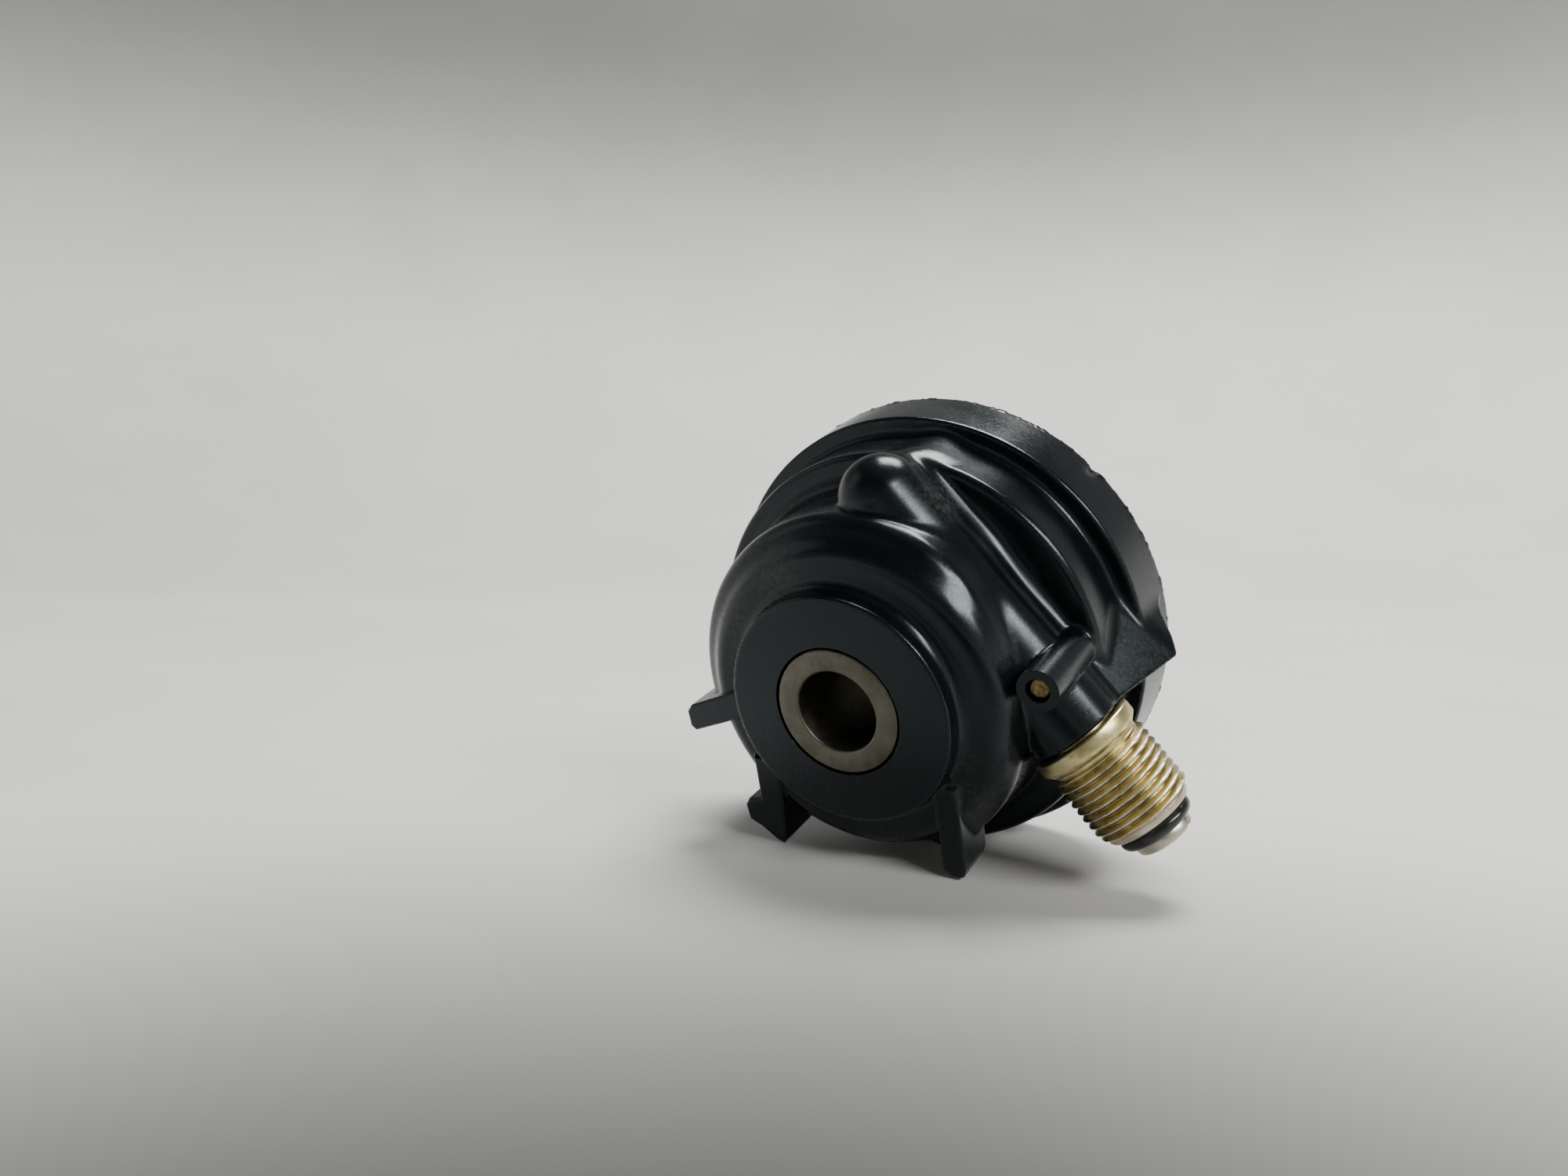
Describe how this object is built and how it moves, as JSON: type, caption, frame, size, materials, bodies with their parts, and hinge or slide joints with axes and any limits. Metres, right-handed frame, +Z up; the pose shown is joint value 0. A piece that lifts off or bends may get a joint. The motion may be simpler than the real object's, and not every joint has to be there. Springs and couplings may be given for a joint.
{
  "type": "speedometer drive gearbox",
  "caption": "Round black moulded gearbox that slips on a wheel axle and drives a speedometer cable from the hub through crossed helical gears and a threaded side fitting.",
  "frame": {"origin": "on the axle line, in the front (fork side) face of the sleeve and disc", "axes": "+Z up with the unit lying on its two locating tabs and the flange rim; the axle line lies in the YZ plane and rises 18.5 degrees from +Y towards the wheel side; +X towards the cable fitting"},
  "size_m": [0.0646, 0.0436, 0.0567],
  "materials": {
    "black_plastic": "semi-gloss black, moulded",
    "black_rubber": "black rubber",
    "sleeve_steel": "turned, dull",
    "bright_steel": "bright",
    "yellow_passivated_steel": "yellow passivated zinc",
    "brass": "dull",
    "natural_nylon": "natural nylon"
  },
  "bodies": {
    "case": {"housing": "black_plastic", "axle_sleeve": "sleeve_steel", "gear_washer_front": "bright_steel", "gear_washer_rear": "bright_steel", "snap_ring": "bright_steel", "seal_case": "sleeve_steel", "dust_seal": "black_rubber", "seal_spring": "bright_steel", "pinion_washer_inner": "bright_steel", "pinion_washer_outer": "bright_steel", "cable_fitting": "yellow_passivated_steel", "shank_o_ring": "black_rubber", "spigot_o_ring": "black_rubber", "retaining_pin": "brass"},
    "wheel_drive": {"drive_gear": "natural_nylon", "meter_clutch": "sleeve_steel"},
    "pinion": {"pinion_gear": "natural_nylon", "pinion_shaft": "sleeve_steel"}
  },
  "joints": [
    {"name": "drive_spin", "type": "hinge", "parent": "case", "child": "wheel_drive", "pos_m": [0, 0.01423, 0.00475], "axis": [0, 0.9485, 0.3169], "continuous": true},
    {"name": "pinion_spin", "type": "hinge", "parent": "case", "child": "pinion", "pos_m": [0.0123, 0.00831, 0.01298], "axis": [0.6184, 0.249, -0.7454], "continuous": true}
  ],
  "couplings": [
    {"joint": "pinion_spin", "follows": "drive_spin", "ratio": -3}
  ]
}
